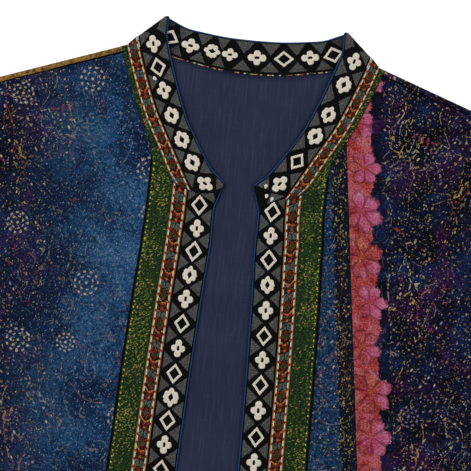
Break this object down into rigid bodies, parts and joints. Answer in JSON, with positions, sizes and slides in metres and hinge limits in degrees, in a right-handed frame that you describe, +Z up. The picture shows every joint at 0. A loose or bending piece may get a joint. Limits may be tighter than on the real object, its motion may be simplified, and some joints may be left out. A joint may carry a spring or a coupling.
{
  "type": "open-front jacket",
  "caption": "Collared open-front jacket laid flat on its back, with patterned bands along the front edges and neck, full sleeves and a plain lining that shows between the fronts",
  "frame": {"origin": "On the surface the jacket lies on, under the middle of its outline", "axes": "+Z up out of the laid jacket, +Y towards the neck, -Y towards the hem, +X towards the wearer's left sleeve"},
  "size_m": [1.2828, 0.6904, 0.0078],
  "materials": {
    "print_back": "matte printed cotton, dark blue and purple",
    "print_left": "matte printed cotton, navy and plum with pink",
    "print_right": "matte printed cotton, mottled blues",
    "lining": "plain navy lining with a faint slub",
    "green_band": "dark green woven band with yellow flecks",
    "narrow_ribbon": "woven ribbon in red, green and cream",
    "wide_ribbon": "woven ribbon, grey and black with cream motifs",
    "piping": "royal blue piping"
  },
  "bodies": {
    "root": {"back_panel": "print_back", "back_lining": "lining", "front_left": "print_left", "front_right": "print_right", "sleeve_left": "print_left", "sleeve_right": "print_right", "green_band_left": "green_band", "green_band_right": "green_band", "narrow_ribbon_left": "narrow_ribbon", "narrow_ribbon_right": "narrow_ribbon", "neck_ribbon_left": "narrow_ribbon", "neck_ribbon_right": "narrow_ribbon", "wide_ribbon_left": "wide_ribbon", "wide_ribbon_right": "wide_ribbon", "collar_outer": "wide_ribbon", "collar_inner": "wide_ribbon", "piping": "piping"}
  },
  "joints": []
}
